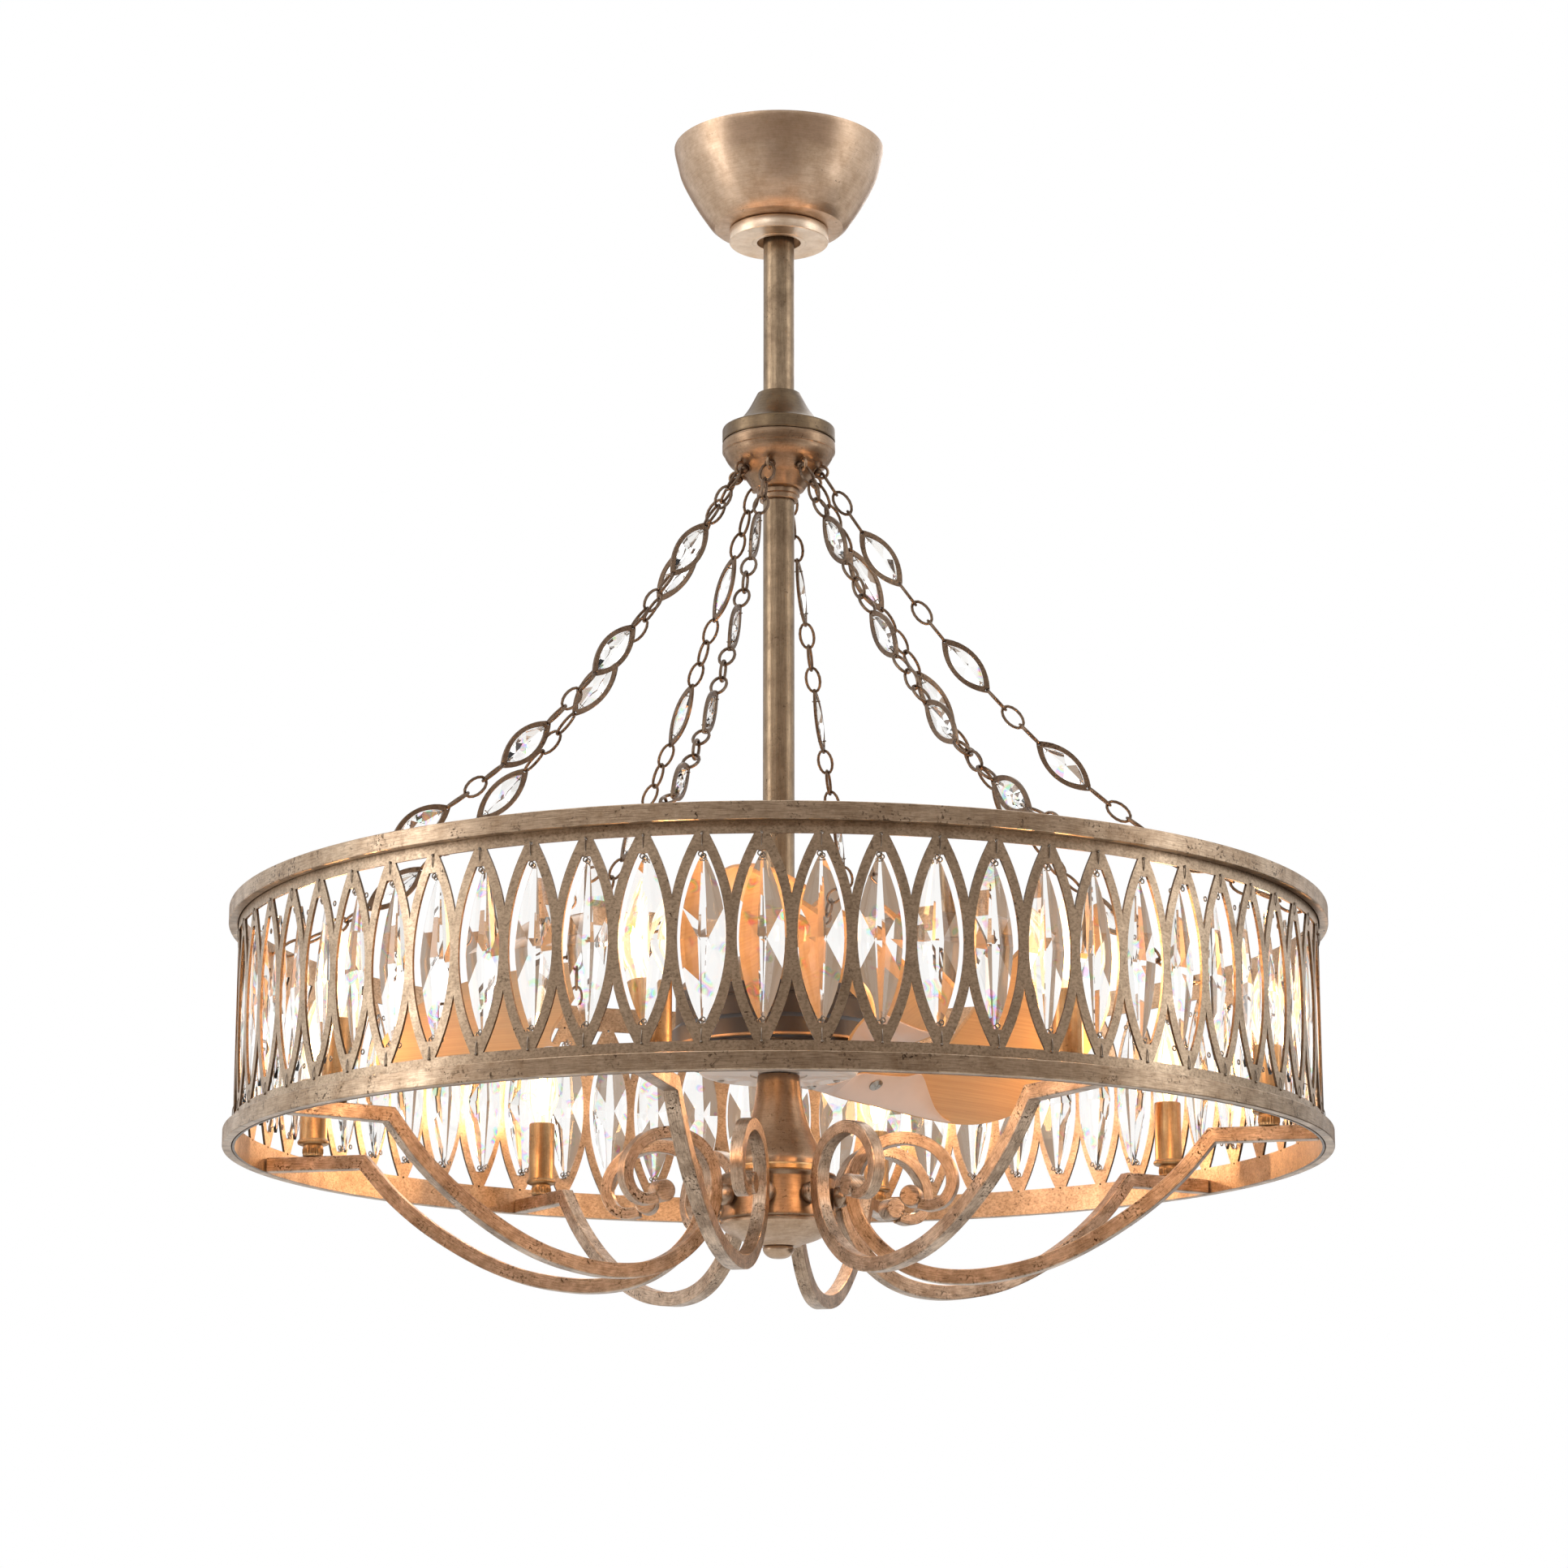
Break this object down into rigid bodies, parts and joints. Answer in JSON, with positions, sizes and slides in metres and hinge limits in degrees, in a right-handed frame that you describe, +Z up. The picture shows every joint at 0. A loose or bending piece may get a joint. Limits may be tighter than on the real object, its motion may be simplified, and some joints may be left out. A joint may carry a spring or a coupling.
{
  "type": "chandelier ceiling fan",
  "caption": "Drum chandelier with a ring of cut crystals, jewelled chains and scrolled candle arms, hung on a ball-jointed downrod, with a ceiling fan turning inside the drum.",
  "frame": {"origin": "centre of the hanger bracket's top face, on the ceiling plane and on the downrod's axis", "axes": "+Z up, towards the ceiling; the downrod hangs along -Z; +X and +Y lie in the ceiling plane"},
  "size_m": [0.9138, 0.9138, 0.9972],
  "materials": {
    "champagne_metal": "brushed antique champagne, worn brown at the edges",
    "zinc_plated_steel": "zinc plated",
    "worn_brass": "worn satin",
    "brown_bronze": "satin brown bronze",
    "dark_motor_enamel": "satin dark bronze enamel",
    "pale_plate_enamel": "satin pale enamel",
    "wood_veneer": "light brown wood grain, satin",
    "dark_bronze_wire": "dark bronze, worn",
    "gold_bronze": "brushed gold bronze",
    "bulb_glass": "clear",
    "cut_crystal": "clear, cut and polished"
  },
  "bodies": {
    "mount": {"hanger_bracket": "zinc_plated_steel", "canopy": "champagne_metal", "canopy_ring": "champagne_metal"},
    "ball": {"hanger_ball": "zinc_plated_steel", "hanger_pin": "zinc_plated_steel"},
    "fixture": {"upper_downrod": "champagne_metal", "coupling_cover": "champagne_metal", "chain_hub": "champagne_metal", "lower_downrod": "champagne_metal", "motor_cover": "brown_bronze", "motor_stator": "zinc_plated_steel", "motor_bottom_plate": "pale_plate_enamel", "neck": "champagne_metal", "neck_ring": "worn_brass", "scroll_hub": "champagne_metal", "hub_cap": "champagne_metal", "finial": "champagne_metal", "threaded_rod": "zinc_plated_steel", "top_hoop": "champagne_metal", "bottom_hoop": "champagne_metal", "lattice_band": "champagne_metal", "crystals": "cut_crystal", "chain_1": "dark_bronze_wire", "chain_2": "dark_bronze_wire", "chain_3": "dark_bronze_wire", "chain_4": "dark_bronze_wire", "chain_5": "dark_bronze_wire", "chain_6": "dark_bronze_wire", "chain_7": "dark_bronze_wire", "chain_8": "dark_bronze_wire", "arm_1": "champagne_metal", "arm_2": "champagne_metal", "arm_3": "champagne_metal", "arm_4": "champagne_metal", "arm_5": "champagne_metal", "arm_6": "champagne_metal", "arm_7": "champagne_metal", "arm_8": "champagne_metal", "candle_1": "gold_bronze", "candle_2": "gold_bronze", "candle_3": "gold_bronze", "candle_4": "gold_bronze", "candle_5": "gold_bronze", "candle_6": "gold_bronze", "candle_7": "gold_bronze", "candle_8": "gold_bronze", "bulb_1": "bulb_glass", "bulb_2": "bulb_glass", "bulb_3": "bulb_glass", "bulb_4": "bulb_glass", "bulb_5": "bulb_glass", "bulb_6": "bulb_glass", "bulb_7": "bulb_glass", "bulb_8": "bulb_glass"},
    "rotor": {"rotor": "dark_motor_enamel", "upper_bearing": "zinc_plated_steel", "lower_bearing": "zinc_plated_steel", "blade_1": "wood_veneer", "blade_2": "wood_veneer", "blade_3": "wood_veneer"}
  },
  "joints": [
    {"name": "ball_sway", "type": "hinge", "parent": "mount", "child": "ball", "pos_m": [0, 0, -0.036], "axis": [1, 0, 0], "range_deg": [-3, 3]},
    {"name": "rod_sway", "type": "hinge", "parent": "ball", "child": "fixture", "pos_m": [0, 0, -0.036], "axis": [0, 1, 0], "range_deg": [-3, 3]},
    {"name": "fan_spin", "type": "hinge", "parent": "fixture", "child": "rotor", "pos_m": [0, 0, -0.8092], "axis": [0, 0, 1], "continuous": true}
  ]
}
